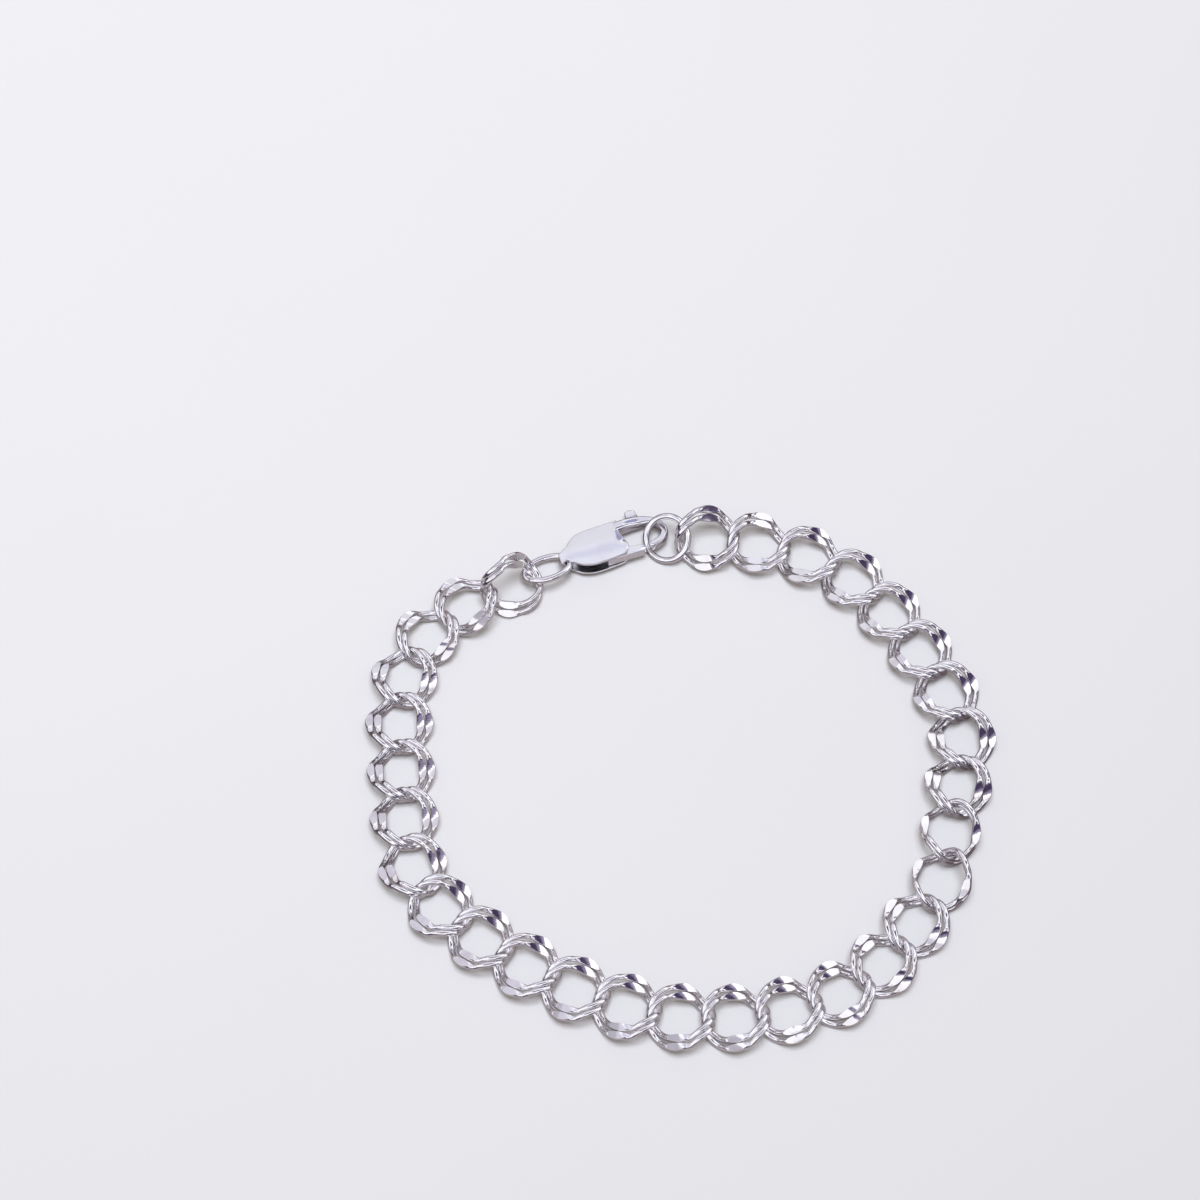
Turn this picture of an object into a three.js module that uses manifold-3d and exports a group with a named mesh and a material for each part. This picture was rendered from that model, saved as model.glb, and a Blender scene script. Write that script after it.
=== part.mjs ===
// A silver double curb chain bracelet, lying as a closed loop with its lobster clasp fastened.
// Millimetres, +Z up. The origin is the middle of the underside of the whole bracelet.

import * as THREE from 'three';
import { mergeVertices } from 'three/addons/utils/BufferGeometryUtils.js';
import Module from 'manifold-3d';

const wasm = await Module();
wasm.setup();

const rad = THREE.MathUtils.degToRad;
const TURN = 2 * Math.PI;

// ---- Driving dimensions ------------------------------------------------------------------

// Wire of the links and of both connecting rings.
const WIRE_R = 0.30;

// Each closed loop of wire is divided into this many steps round it and sides across the wire.
const LINK_RING_STEPS = 16;
const LINK_RING_SIDES = 6;
const JUMP_RING_STEPS = 32;
const OVAL_RING_STEPS = 28;
const PLAIN_RING_SIDES = 8;

// A link is two equal rings side by side, each twisted about its length by this angle from its
// middle to either end.
const LINK_HALF_LENGTH = 3.3;
const LINK_HALF_WIDTH = 2.75;
const LINK_TWIST = rad(42);
const RING_SPACING = 0.92;
const SOLDER_R = 0.22;

// The chain.
const LINKS = 30;
const PITCH = 5.6;
const FIRST_LINK_AT = 2.1;
const LINK_HEIGHT = 1.34;

// Centre line of the chain as it lies, from the clasp's neck round to its hook.
const ROUTE = [
  [-16.9, 24.0], [-28.9, 13.4], [-29.4, -3.8], [-26.3, -14.8], [-12.8, -24.3], [1.8, -28.2],
  [16.8, -25.0], [26.2, -14.6], [28.3, -6.4], [29.4, 7.0], [17.6, 23.9], [-1.5, 28.8],
].map(([x, y]) => new THREE.Vector3(x, y, 0));

// Links that lie other than flat along the route: turned about the vertical, rolled about their
// length and pitched nose up, in degrees, then moved ahead, to the left and up, in mm.
const LINK_LIE = [
  { link: 1, turn: -27, roll: -42, pitch: 22, ahead: 0.42, side: 1.05, lift: 1.05 },
  { link: 2, turn: 2, roll: 5, pitch: -5, ahead: -0.01, side: -0.01, lift: 0.47 },
  { link: 3, turn: 1, roll: -1, pitch: 1, ahead: 0, side: 0, lift: 0.05 },
  { link: 8, turn: 0, roll: 0, pitch: 1, ahead: 0, side: 0.05, lift: 0 },
  { link: 19, turn: 2, roll: 0, pitch: 1, ahead: 0, side: 0, lift: 0 },
  { link: 20, turn: 0, roll: -6, pitch: 5, ahead: 0, side: 0.05, lift: 0.46 },
  { link: 21, turn: -3, roll: 1, pitch: 0, ahead: 0, side: 0, lift: 0.46 },
  { link: 22, turn: 0, roll: 0, pitch: -2, ahead: 0, side: 0, lift: 0.1 },
  { link: 23, turn: 1, roll: 0, pitch: 0, ahead: 0, side: 0, lift: 0 },
  { link: 24, turn: 1, roll: 0, pitch: 0, ahead: 0, side: 0, lift: 0 },
  { link: 28, turn: 0, roll: 0, pitch: 1, ahead: 0.05, side: 0, lift: 0.05 },
  { link: 29, turn: 4, roll: -4, pitch: 8, ahead: 0.17, side: -0.11, lift: 0.28 },
  { link: 30, turn: 8, roll: -25, pitch: 5, ahead: 0.29, side: 0.43, lift: 0.87 },
];
const LIES_FLAT = { turn: 0, roll: 0, pitch: 0, ahead: 0, side: 0, lift: 0 };

// In these two links one ring lies on the other, instead of beside it.
const STACKED_LINKS = [20, 21];

// The clasp: its own frame has u along its length to the hook, v to the far side, w upwards.
const CLASP_AT = new THREE.Vector3(-12.9, 24.74, 0.383);
const CLASP_HEADING = rad(17.5);
const CLASP_ROLL = rad(7);
const CLASP_THICK = 1.95;
const PLATE_THICK = 0.30;
const NECK_WALL_TO_U = 0.3;
const NECK_WALL_TO_V = 0.5;

const HOOK_WIDTH = 0.86;
const HOOK_LOW = 0.42;
const HOOK_HIGH = 1.6;
const HOOK_STEPS = 24;

const LEVER_PIVOT = new THREE.Vector2(5.6, -0.95);
const LEVER_TIP = new THREE.Vector2(9.12, -1.38);
const LEVER_WIDTH = 0.85;
const LEVER_LOW = 0.45;
const LEVER_HIGH = 1.5;
const LEVER_NOSE = 0.35;
const LEVER_NOSE_SHARE = 0.6;
const LEVER_SWING = rad(18);
const PIVOT_PIN_R = 0.25;
const PIVOT_HOLE_R = 0.33;
const PIVOT_EYE_R = 0.62;
const PIVOT_SIDES = 12;
const EYE_SIDES = 16;

const ARM_LOW = 0.82;
const ARM_HIGH = 1.12;
const NUB_LOW = 0.6;
const NUB_HIGH = 1.35;
const SLOT_PLAY = 0.1;
const SLOT_STEPS = 6;

// The round jump ring at the hook and the oval ring at the neck.
const JUMP_RING_R = 2.45;
const JUMP_RING_AT = new THREE.Vector3(-1.2, 27.66, 1.78);
const JUMP_RING_TILT = rad(35);
const JUMP_RING_TILT_TO = rad(-128);

const OVAL_HALF_LENGTH = 2.65;
const OVAL_HALF_WIDTH = 1.85;
const OVAL_AT = new THREE.Vector3(-14.4, 24.03, 1.5);
const OVAL_YAW = rad(23);
const OVAL_ROLL = rad(-24);

// Finishes.
const CHAIN_COLOUR = 0xd9d8de;
const RING_COLOUR = 0xdcdbe2;
const CLASP_COLOUR = 0xe4e3ec;
const LEVER_COLOUR = 0xdad9de;
const CHAIN_ROUGHNESS = 0.18;
const RING_ROUGHNESS = 0.15;
const CLASP_ROUGHNESS = 0.2;

// ---- Helpers -----------------------------------------------------------------------------

function toSolid(geometry) {
  const bare = geometry.index ? geometry.clone() : geometry;
  bare.deleteAttribute('normal');
  bare.deleteAttribute('uv');
  const merged = mergeVertices(bare, 1e-5);
  return new wasm.Manifold(new wasm.Mesh({
    numProp: 3,
    vertProperties: new Float32Array(merged.attributes.position.array),
    triVerts: new Uint32Array(merged.index.array),
  }));
}

function toGeometry(solid) {
  const mesh = solid.getMesh();
  const geometry = new THREE.BufferGeometry();
  geometry.setAttribute('position', new THREE.BufferAttribute(mesh.vertProperties, 3));
  geometry.setIndex(new THREE.BufferAttribute(mesh.triVerts, 1));
  geometry.computeVertexNormals();
  return geometry;
}

// A wire bent into a closed loop. centre(t) is a point on it and across(t) any direction that
// is never along it, for t from 0 to 1. The corners stand a little outside the true curve, so
// that the straight stretches between them lie as far outside it as inside.
function wireLoop(centre, across, steps, sides) {
  const positions = [];
  const index = [];
  const step = 1e-4;
  for (let i = 0; i < steps; i++) {
    const t = i / steps;
    const along = centre(t + step).sub(centre(t - step)).normalize();
    const a = across(t).cross(along).normalize();
    const b = along.clone().cross(a);
    const chord = centre(t - 0.5 / steps).add(centre(t + 0.5 / steps)).multiplyScalar(0.5);
    const corner = centre(t).lerp(chord, -0.5);
    for (let j = 0; j < sides; j++) {
      const angle = (j / sides) * TURN;
      const p = corner.clone()
        .addScaledVector(a, WIRE_R * Math.cos(angle))
        .addScaledVector(b, WIRE_R * Math.sin(angle));
      positions.push(p.x, p.y, p.z);
      const here = i * sides + j;
      const beside = i * sides + ((j + 1) % sides);
      const next = ((i + 1) % steps) * sides + j;
      const nextBeside = ((i + 1) % steps) * sides + ((j + 1) % sides);
      index.push(here, beside, nextBeside, here, nextBeside, next);
    }
  }
  const geometry = new THREE.BufferGeometry();
  geometry.setAttribute('position', new THREE.Float32BufferAttribute(positions, 3));
  geometry.setIndex(index);
  geometry.computeVertexNormals();
  return geometry;
}

// A flat outline given as [u, v] points, raised from low to high.
function slab(outline, low, high) {
  const shape = new THREE.Shape(outline.map(([u, v]) => new THREE.Vector2(u, v)));
  const geometry = new THREE.ExtrudeGeometry(shape, { depth: high - low, bevelEnabled: false });
  geometry.translate(0, 0, low);
  return toSolid(geometry);
}

function circle({ x, y }, radius, sides) {
  return Array.from({ length: sides }, (_, i) => [
    x + radius * Math.cos((i / sides) * TURN),
    y + radius * Math.sin((i / sides) * TURN),
  ]);
}

function joined(solids) {
  return solids.reduce((whole, solid) => whole.add(solid));
}

function silver(colour, roughness) {
  return new THREE.MeshStandardMaterial({ color: colour, roughness, metalness: 1.0 });
}

function part(name, geometry, material) {
  const mesh = new THREE.Mesh(geometry, material);
  mesh.name = name;
  return mesh;
}

// ---- Chain -------------------------------------------------------------------------------

function twistedRing() {
  const twistAt = (x) => (-LINK_TWIST * x) / LINK_HALF_LENGTH;
  const centre = (t) => {
    const x = LINK_HALF_LENGTH * Math.cos(t * TURN);
    const out = LINK_HALF_WIDTH * Math.sin(t * TURN);
    return new THREE.Vector3(x, out * Math.cos(twistAt(x)), out * Math.sin(twistAt(x)));
  };
  const across = (t) => {
    const twist = twistAt(LINK_HALF_LENGTH * Math.cos(t * TURN));
    return new THREE.Vector3(0, -Math.sin(twist), Math.cos(twist));
  };
  return wireLoop(centre, across, LINK_RING_STEPS, LINK_RING_SIDES);
}

// Two rings soldered together at one end, side by side or one on the other.
function ringPair(stacked) {
  const apart = stacked ? new THREE.Vector3(0, 0, 1) : new THREE.Vector3(0, 1, 0);
  const pieces = [];
  for (const side of [-0.5, 0.5]) {
    const ring = twistedRing();
    ring.translate(...apart.clone().multiplyScalar(side * RING_SPACING));
    pieces.push(toSolid(ring));
  }
  const solder = new THREE.OctahedronGeometry(SOLDER_R);
  solder.translate(LINK_HALF_LENGTH, 0, 0);
  pieces.push(toSolid(solder));
  return toGeometry(joined(pieces));
}

function makeChain() {
  const chain = new THREE.Group();
  const material = silver(CHAIN_COLOUR, CHAIN_ROUGHNESS);
  const route = new THREE.CatmullRomCurve3(ROUTE, false, 'catmullrom', 0.5);
  route.arcLengthDivisions = 1000;
  const length = route.getLength();
  const flatPair = ringPair(false);
  const stackedPair = ringPair(true);
  for (let n = 1; n <= LINKS; n++) {
    const along = (FIRST_LINK_AT + PITCH * (n - 1)) / length;
    const place = route.getPointAt(along);
    const ahead = route.getTangentAt(along);
    const heading = Math.atan2(ahead.y, ahead.x);
    const lie = LINK_LIE.find((row) => row.link === n) ?? LIES_FLAT;
    const name = `link_${String(n).padStart(2, '0')}`;
    const link = part(name, STACKED_LINKS.includes(n) ? stackedPair : flatPair, material);
    link.position.set(
      place.x + lie.ahead * Math.cos(heading) - lie.side * Math.sin(heading),
      place.y + lie.ahead * Math.sin(heading) + lie.side * Math.cos(heading),
      LINK_HEIGHT + lie.lift,
    );
    link.rotation.set(rad(lie.roll), -rad(lie.pitch), heading + rad(lie.turn), 'ZYX');
    chain.add(link);
  }
  return chain;
}

// ---- Connecting rings --------------------------------------------------------------------

function plainRing(name, halfLength, halfWidth, steps) {
  const centre = (t) => new THREE.Vector3(
    halfLength * Math.cos(t * TURN),
    halfWidth * Math.sin(t * TURN),
    0,
  );
  const across = () => new THREE.Vector3(0, 0, 1);
  const wire = wireLoop(centre, across, steps, PLAIN_RING_SIDES);
  return part(name, wire, silver(RING_COLOUR, RING_ROUGHNESS));
}

function makeJumpRing() {
  const ring = plainRing('jump_ring', JUMP_RING_R, JUMP_RING_R, JUMP_RING_STEPS);
  const tiltAxis = new THREE.Vector3(-Math.sin(JUMP_RING_TILT_TO), Math.cos(JUMP_RING_TILT_TO), 0);
  ring.quaternion.setFromAxisAngle(tiltAxis, JUMP_RING_TILT);
  ring.position.copy(JUMP_RING_AT);
  return ring;
}

function makeOvalRing() {
  const ring = plainRing('oval_ring', OVAL_HALF_LENGTH, OVAL_HALF_WIDTH, OVAL_RING_STEPS);
  ring.position.copy(OVAL_AT);
  ring.rotation.set(OVAL_ROLL, 0, OVAL_YAW, 'ZYX');
  return ring;
}

// ---- Clasp -------------------------------------------------------------------------------

// The two pressed plates share one outline: a narrow neck, a waist, and a broad front.
const NEAR_EDGE = [
  [-0.1, -0.94], [0.56, -0.55], [0.79, -0.67], [1.16, -0.96], [2.02, -1.62], [2.84, -1.94],
  [3.8, -2.06], [5.5, -1.95], [6.87, -1.76],
];
const FRONT_EDGE = [[7.37, -1.44], [7.66, -0.72], [7.46, 0.5], [7.2, 1.38], [7.25, 2.2]];
const FAR_EDGE = [
  [7.35, 2.92], [6.34, 2.88], [4.98, 2.8], [3.76, 2.72], [2.92, 2.59], [2.17, 2.31],
  [1.46, 1.73], [1.14, 1.34], [0.54, 0.89], [-0.12, 0.46],
];
const CLASP_OUTLINE = [...NEAR_EDGE, ...FRONT_EDGE, ...FAR_EDGE];

// The spine closes the far side between the plates, from this inner edge outwards.
const SPINE_REGION = [[2.2, 1.61], [3.76, 2.02], [7.35, 2.2], [7.35, 4], [2.2, 4]];

// Centre line of the hook's band, from the body round to the tip.
const HOOK_LINE = [
  [6.9, 2.25], [7.4, 2.3], [8.3, 2.42], [9.3, 2.5], [10.3, 2.4], [11.2, 2.0], [11.85, 1.3],
  [12.1, 0.4], [11.8, -0.35], [11.2, -0.8], [10.5, -1.02], [10.1, -1.07],
];

// A band of the given half width along a curve, with a round end.
function band(points, halfWidth, divisions) {
  const curve = new THREE.SplineCurve(points.map(([u, v]) => new THREE.Vector2(u, v)));
  const left = [];
  const right = [];
  for (let i = 0; i <= divisions; i++) {
    const p = curve.getPointAt(i / divisions);
    const along = curve.getTangentAt(i / divisions);
    left.push([p.x - halfWidth * along.y, p.y + halfWidth * along.x]);
    right.push([p.x + halfWidth * along.y, p.y - halfWidth * along.x]);
  }
  return [...left, ...right.reverse()];
}

// The trigger's thin arm: up from the pivot, forward inside the hook's root, out to the nub.
function armOutline(play) {
  return [
    [5.9 - play, -0.6], [5.9 - play, 1.9], [6.5, 2.55 + play], [8.6 - play, 2.75 + play],
    [8.6 - play, 3.45], [9.75 + play, 3.45], [9.75 + play, 2.1 - play], [7.2, 1.75 - play],
    [6.7 + play, 1.4], [6.7 + play, -0.6],
  ];
}

const NUB_OUTLINE = [[8.6, 3.35], [8.75, 4.1], [9.3, 4.2], [9.75, 4.0], [9.85, 3.35]];

// The arm's slot is cut only through the spine and the hook's root.
const SLOT_REGION = [[5, 1.2], [11, 1.2], [11, 6], [5, 6]];

function turned(solid, angle) {
  const { x, y } = LEVER_PIVOT;
  return solid
    .translate([-x, -y, 0])
    .rotate([0, 0, THREE.MathUtils.radToDeg(angle)])
    .translate([x, y, 0]);
}

function makeClaspBody() {
  const whole = slab(CLASP_OUTLINE, 0, CLASP_THICK);
  const neckWall = whole.intersect(slab([
    [-1, -2], [NECK_WALL_TO_U, -2], [NECK_WALL_TO_U, NECK_WALL_TO_V], [-1, NECK_WALL_TO_V],
  ], 0, CLASP_THICK));
  const spine = whole.intersect(slab(SPINE_REGION, 0, CLASP_THICK));
  const hook = slab(band(HOOK_LINE, HOOK_WIDTH / 2, HOOK_STEPS), HOOK_LOW, HOOK_HIGH);
  const pin = slab(circle(LEVER_PIVOT, PIVOT_PIN_R, PIVOT_SIDES), 0, CLASP_THICK);
  let body = joined([
    slab(CLASP_OUTLINE, 0, PLATE_THICK),
    slab(CLASP_OUTLINE, CLASP_THICK - PLATE_THICK, CLASP_THICK),
    neckWall,
    spine,
    hook,
    pin,
  ]);
  const arm = slab(armOutline(SLOT_PLAY), ARM_LOW - SLOT_PLAY, ARM_HIGH + SLOT_PLAY);
  const slotRegion = slab(SLOT_REGION, 0, CLASP_THICK);
  for (let i = 0; i <= SLOT_STEPS; i++) {
    const swept = turned(arm, (LEVER_SWING * i) / SLOT_STEPS);
    body = body.subtract(swept.intersect(slotRegion));
  }
  return toGeometry(body);
}

function makeLever() {
  const along = LEVER_TIP.clone().sub(LEVER_PIVOT).normalize();
  const side = new THREE.Vector2(-along.y, along.x).multiplyScalar(LEVER_WIDTH / 2);
  const noseSide = side.clone().multiplyScalar(LEVER_NOSE_SHARE);
  const nose = LEVER_TIP.clone().addScaledVector(along, LEVER_NOSE);
  const bar = slab([
    LEVER_PIVOT.clone().add(side).toArray(),
    LEVER_PIVOT.clone().sub(side).toArray(),
    LEVER_TIP.clone().sub(side).toArray(),
    nose.clone().sub(noseSide).toArray(),
    nose.clone().add(noseSide).toArray(),
    LEVER_TIP.clone().add(side).toArray(),
  ], LEVER_LOW, LEVER_HIGH);
  const eye = slab(circle(LEVER_PIVOT, PIVOT_EYE_R, EYE_SIDES), LEVER_LOW, LEVER_HIGH);
  const arm = slab(armOutline(0), ARM_LOW, ARM_HIGH);
  const nub = slab(NUB_OUTLINE, NUB_LOW, NUB_HIGH);
  const hole = slab(circle(LEVER_PIVOT, PIVOT_HOLE_R, PIVOT_SIDES), 0, CLASP_THICK);
  return toGeometry(joined([bar, eye, arm, nub]).subtract(hole));
}

function makeClasp() {
  const clasp = new THREE.Group();
  clasp.add(part('clasp_body', makeClaspBody(), silver(CLASP_COLOUR, CLASP_ROUGHNESS)));
  clasp.add(part('clasp_lever', makeLever(), silver(LEVER_COLOUR, CLASP_ROUGHNESS)));
  clasp.rotation.set(-CLASP_ROLL, 0, CLASP_HEADING, 'ZYX');
  clasp.position.copy(CLASP_AT);
  return clasp;
}

// ---- The bracelet ------------------------------------------------------------------------

const bracelet = new THREE.Group();
bracelet.add(makeChain(), makeOvalRing(), makeJumpRing(), makeClasp());

export default bracelet;
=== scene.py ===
import math

import bmesh
import bpy
import numpy as np
from mathutils import Matrix, Vector
from mathutils.geometry import delaunay_2d_cdt


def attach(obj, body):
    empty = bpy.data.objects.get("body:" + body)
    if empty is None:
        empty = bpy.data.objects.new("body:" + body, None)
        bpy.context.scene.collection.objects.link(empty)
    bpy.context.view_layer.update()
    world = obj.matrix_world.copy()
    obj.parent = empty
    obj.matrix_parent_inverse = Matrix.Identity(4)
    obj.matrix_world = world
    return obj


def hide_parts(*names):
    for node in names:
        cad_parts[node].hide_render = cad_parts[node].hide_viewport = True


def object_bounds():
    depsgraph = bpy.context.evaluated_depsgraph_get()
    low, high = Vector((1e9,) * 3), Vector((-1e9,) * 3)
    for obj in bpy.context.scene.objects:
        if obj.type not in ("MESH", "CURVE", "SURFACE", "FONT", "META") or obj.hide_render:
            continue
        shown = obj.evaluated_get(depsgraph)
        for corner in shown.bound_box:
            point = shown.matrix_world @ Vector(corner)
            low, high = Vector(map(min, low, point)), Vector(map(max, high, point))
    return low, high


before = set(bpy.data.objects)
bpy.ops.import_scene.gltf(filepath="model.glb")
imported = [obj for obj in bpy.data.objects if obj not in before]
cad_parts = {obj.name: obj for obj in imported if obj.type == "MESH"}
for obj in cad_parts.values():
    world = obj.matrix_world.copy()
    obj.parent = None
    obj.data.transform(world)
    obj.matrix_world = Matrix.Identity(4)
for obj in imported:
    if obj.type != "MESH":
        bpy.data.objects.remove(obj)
cad_low, cad_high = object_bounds()

# Lengths in this script are millimetres, and a mesh is scaled to metres when it is made.
# Materials, lights and the stage are in metres.
MM = 0.001
TURN = 2 * math.pi


def rad(degrees):
    return math.radians(degrees)


# ---- Camera ------------------------------------------------------------------------------

TARGET = Vector((-8.6, 20.9, 0.03)) * MM
CAMERA_ELEVATION = rad(62)
CAMERA_DISTANCE = 330 * MM
CAMERA_LENS = 90
CAMERA_SENSOR = 36
CAMERA_CLIP = (0.01, 10)


def make_camera():
    data = bpy.data.cameras.new("camera")
    data.lens = CAMERA_LENS
    data.sensor_width = CAMERA_SENSOR
    data.clip_start, data.clip_end = CAMERA_CLIP
    camera = bpy.data.objects.new("camera", data)
    back = Vector((0, -math.cos(CAMERA_ELEVATION), math.sin(CAMERA_ELEVATION)))
    camera.location = TARGET + back * CAMERA_DISTANCE
    camera.rotation_euler = (-back).to_track_quat("-Z", "Y").to_euler()
    bpy.context.scene.collection.objects.link(camera)
    bpy.context.scene.camera = camera


make_camera()
bpy.context.scene.view_settings.view_transform = "Standard"

# ---- The chain's dimensions, as in the CAD -------------------------------------------------

WIRE_R = 0.30
LINK_A = 3.3
LINK_B = 2.75
LINK_TWIST = rad(42)
RING_SPACING = 0.92

LINKS = 30
PITCH = 5.6
FIRST_LINK_AT = 2.1
LINK_HEIGHT = 1.34
ROUTE = np.array([
    [-16.9, 24.0], [-28.9, 13.4], [-29.4, -3.8], [-26.3, -14.8], [-12.8, -24.3], [1.8, -28.2],
    [16.8, -25.0], [26.2, -14.6], [28.3, -6.4], [29.4, 7.0], [17.6, 23.9], [-1.5, 28.8],
])

# How a link lies off its even place: turn, roll and pitch in degrees; ahead, side and lift in mm.
LINK_LIE = {
    1: (-27, -42, 22, 0.42, 1.05, 1.05),
    2: (2, 5, -5, -0.01, -0.01, 0.47),
    3: (1, -1, 1, 0, 0, 0.05),
    8: (0, 0, 1, 0, 0.05, 0),
    19: (2, 0, 1, 0, 0, 0),
    20: (0, -6, 5, 0, 0.05, 0.46),
    21: (-3, 1, 0, 0, 0, 0.46),
    22: (0, 0, -2, 0, 0, 0.1),
    23: (1, 0, 0, 0, 0, 0),
    24: (1, 0, 0, 0, 0, 0),
    28: (0, 0, 1, 0.05, 0, 0.05),
    29: (4, -4, 8, 0.17, -0.11, 0.28),
    30: (8, -25, 5, 0.29, 0.43, 0.87),
}
LIES_FLAT = (0, 0, 0, 0, 0, 0)
STACKED_LINKS = (20, 21)

# The connecting rings stand where the CAD's do; their wire is the photograph's, a little thicker.
RING_WIRE_R = 0.37
JUMP_RING_R = 2.45
JUMP_RING_AT = Vector((-1.2, 27.66, 1.78))
JUMP_RING_TILT = rad(35)
JUMP_RING_TILT_TO = rad(-128)

OVAL_A = 2.65
OVAL_B = 1.85
OVAL_AT = Vector((-14.4, 24.03, 1.5))
OVAL_YAW = rad(23)
OVAL_ROLL = rad(-24)

CLASP_AT = Vector((-12.9, 24.74, 0.383))
CLASP_HEADING = rad(17.5)
CLASP_ROLL = rad(7)


def turned(yaw, pitch, roll):
    """Roll about the length, then nose up by pitch, then turn about the vertical."""
    return (
        Matrix.Rotation(yaw, 4, "Z") @ Matrix.Rotation(-pitch, 4, "Y") @ Matrix.Rotation(roll, 4, "X")
    )


def place(piece, at, rotation):
    """Moves a piece's points, so that its box is exact and its object stays at the origin."""
    piece.data.transform(Matrix.Translation(Vector(at) * MM) @ rotation)


# ---- Materials ---------------------------------------------------------------------------


def new_material(name):
    """A new material, with its nodes, its links and its shader."""
    material = bpy.data.materials.new(name)
    material.use_nodes = True
    tree = material.node_tree
    return material, tree.nodes, tree.links, tree.nodes["Principled BSDF"]


def noise(node, link, where, scale, detail):
    """Cloudy noise, with this many clouds to the metre."""
    clouds = node.new("ShaderNodeTexNoise")
    clouds.inputs["Scale"].default_value = scale
    clouds.inputs["Detail"].default_value = detail
    link.new(where, clouds.inputs["Vector"])
    return clouds.outputs["Fac"]


def spread(node, link, value, taken, given=(0, 1)):
    """The value, with one range of it widened or narrowed to another."""
    reach = node.new("ShaderNodeMapRange")
    reach.inputs["From Min"].default_value, reach.inputs["From Max"].default_value = taken
    reach.inputs["To Min"].default_value, reach.inputs["To Max"].default_value = given
    link.new(value, reach.inputs["Value"])
    return reach.outputs["Result"]


def blend(node, link, share, first, second):
    """The first colour where the share is 0 and the second where it is 1."""
    tint = node.new("ShaderNodeMix")
    tint.data_type = "RGBA"
    tint.inputs["A"].default_value = (*first, 1)
    tint.inputs["B"].default_value = (*second, 1)
    link.new(share, tint.inputs["Factor"])
    return tint.outputs["Result"]


def roughen(node, link, shader, height, strength, depth):
    """Fine relief on the surface, by bump."""
    bump = node.new("ShaderNodeBump")
    bump.inputs["Strength"].default_value = strength
    bump.inputs["Distance"].default_value = depth
    link.new(height, bump.inputs["Height"])
    link.new(bump.outputs["Normal"], shader.inputs["Normal"])


TARNISH = {"scale": 420, "detail": 4}
TARNISH_SHOWS = (0.48, 0.78)
POLISH = {"scale": 1500, "detail": 3}
POLISH_SHOWS = (0.3, 0.7)
SCRATCH = {"scale": 1, "detail": 2}
SCRATCH_TURN = (0.3, 0.2, 0.7)
SCRATCH_STRETCH = (900, 9000, 9000)
SCRATCH_DEPTH = 0.00002


def silver(name, colour, dull, rough_low, rough_high, scratch, moving=False):
    """Polished silver: faint cloudy tarnish, uneven polish and fine scratches.

    The pattern is fixed in space for what never moves, and to the object for what does."""
    material, node, link, shader = new_material(name)
    shader.inputs["Metallic"].default_value = 1.0
    if moving:
        where = node.new("ShaderNodeTexCoord").outputs["Object"]
    else:
        where = node.new("ShaderNodeNewGeometry").outputs["Position"]

    tarnish = spread(node, link, noise(node, link, where, **TARNISH), TARNISH_SHOWS)
    link.new(blend(node, link, tarnish, colour, dull), shader.inputs["Base Color"])

    polish = noise(node, link, where, **POLISH)
    rough = spread(node, link, polish, POLISH_SHOWS, (rough_low, rough_high))
    link.new(rough, shader.inputs["Roughness"])

    stretch = node.new("ShaderNodeMapping")
    stretch.inputs["Rotation"].default_value = SCRATCH_TURN
    stretch.inputs["Scale"].default_value = SCRATCH_STRETCH
    link.new(where, stretch.inputs["Vector"])
    lines = noise(node, link, stretch.outputs["Vector"], **SCRATCH)
    roughen(node, link, shader, lines, scratch, SCRATCH_DEPTH)
    return material


CHAIN_SILVER = silver("silver_chain", (0.94, 0.93, 0.95), (0.80, 0.76, 0.77), 0.05, 0.12, 0.1)
RING_SILVER = silver("silver_rings", (0.94, 0.93, 0.95), (0.82, 0.79, 0.80), 0.03, 0.08, 0.08)
CLASP_SILVER = silver("silver_clasp", (0.93, 0.93, 0.96), (0.85, 0.84, 0.88), 0.15, 0.2, 0.04)
LEVER_SILVER = silver("silver_lever", (0.97, 0.96, 0.99), (0.91, 0.89, 0.92), 0.12, 0.18, 0.05, True)

# ---- Mesh helpers --------------------------------------------------------------------------

SHARP = rad(28)
CLASP_SHARP = rad(30)


def add_object(name, mesh):
    thing = bpy.data.objects.new(name, mesh)
    bpy.context.scene.collection.objects.link(thing)
    return thing


def shade(mesh, sharp_above=SHARP):
    """Smooth shading, except at edges sharper than that."""
    bm = bmesh.new()
    bm.from_mesh(mesh)
    bmesh.ops.recalc_face_normals(bm, faces=bm.faces)
    for face in bm.faces:
        face.smooth = True
    for edge in bm.edges:
        edge.smooth = edge.is_manifold and edge.calc_face_angle(0) < sharp_above
    bm.to_mesh(mesh)
    bm.free()


def mesh_object(name, points, faces):
    """A shaded mesh in metres from points in mm."""
    mesh = bpy.data.meshes.new(name)
    mesh.from_pydata([tuple(c * MM for c in p) for p in points], [], faces)
    shade(mesh)
    return add_object(name, mesh)


def bmesh_object(name, bm):
    mesh = bpy.data.meshes.new(name)
    bm.to_mesh(mesh)
    bm.free()
    return add_object(name, mesh)


def tube_faces(steps, sides, closed):
    """The walls between rings of points, round the tube's end to its start if it is closed."""
    faces = []
    for i in range(steps):
        ahead = (i + 1) % steps if closed else i + 1
        for j in range(sides):
            beside = (j + 1) % sides
            faces.append((i * sides + j, ahead * sides + j, ahead * sides + beside, i * sides + beside))
    return faces


def smoothstep(low, high, x):
    t = min(1, max(0, (x - low) / (high - low)))
    return t * t * (3 - 2 * t)


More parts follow.
